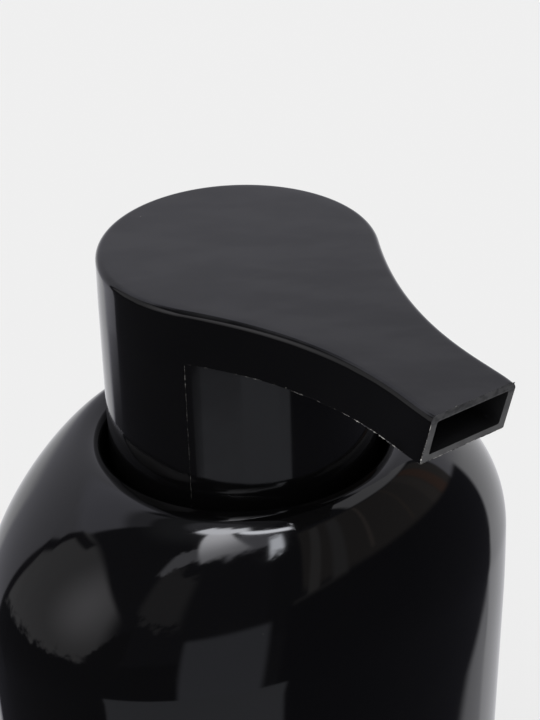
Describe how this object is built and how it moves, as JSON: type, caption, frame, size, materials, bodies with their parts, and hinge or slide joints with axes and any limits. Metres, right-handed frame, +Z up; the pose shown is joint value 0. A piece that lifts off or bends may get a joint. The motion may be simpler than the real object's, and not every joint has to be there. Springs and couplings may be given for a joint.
{
  "type": "pump bottle",
  "caption": "Oval black bottle for hair dye shampoo with a drop-shaped press pump head that plunges into a rolled well.",
  "frame": {"origin": "centre of the bottle's flat base, on the pump's axis", "axes": "+Z up along the pump's axis; the spout points along -Y; the oval body is widest along X"},
  "size_m": [0.0876, 0.0842, 0.1655],
  "materials": {
    "bottle_black": "blow-moulded, high gloss",
    "head_black": "injection-moulded gloss with faint sink marks",
    "closure_black": "moulded satin",
    "gasket_foam": "soft foamed sheet",
    "pump_natural": "natural translucent moulding",
    "piston_white": "soft waxy moulding",
    "spring_steel": "drawn spring wire",
    "ball_steel": "polished ball",
    "tube_natural": "extruded, slightly cloudy"
  },
  "bodies": {
    "bottle": {"bottle": "bottle_black"},
    "pump": {"pump_cylinder": "pump_natural", "gasket": "gasket_foam", "guide_ring": "closure_black", "spring_seat": "pump_natural", "return_spring": "spring_steel", "dip_tube": "tube_natural"},
    "collar": {"closure_collar": "closure_black"},
    "plunger": {"piston": "piston_white"},
    "head": {"pump_head": "head_black", "stem": "pump_natural"},
    "inlet_valve": {"inlet_ball": "ball_steel"},
    "outlet_valve": {"outlet_ball": "ball_steel"}
  },
  "joints": [
    {"name": "pump_lift", "type": "slide", "parent": "bottle", "child": "pump", "axis": [0, 0, 1], "range_m": [0, 0.00635]},
    {"name": "collar_turn", "type": "hinge", "parent": "pump", "child": "collar", "pos_m": [0, 0, 0.128], "axis": [0, 0, 1], "range_deg": [0, 541]},
    {"name": "pump_stroke", "type": "slide", "parent": "pump", "child": "plunger", "axis": [0, 0, 1], "range_m": [-0.012, 0], "stiffness_N_per_m": 300, "springref_m": 0.01, "deforming": ["return_spring"]},
    {"name": "head_swivel", "type": "hinge", "parent": "plunger", "child": "head", "pos_m": [0, 0, 0.15], "axis": [0, 0, 1], "continuous": true},
    {"name": "inlet_ball_lift", "type": "slide", "parent": "pump", "child": "inlet_valve", "axis": [0, 0, 1], "range_m": [0, 0.0015]},
    {"name": "outlet_ball_lift", "type": "slide", "parent": "head", "child": "outlet_valve", "axis": [0, 0, 1], "range_m": [0, 0.0012]}
  ],
  "couplings": [
    {"joint": "collar_turn", "follows": "pump_lift", "rad_per_m": 1484.2}
  ]
}
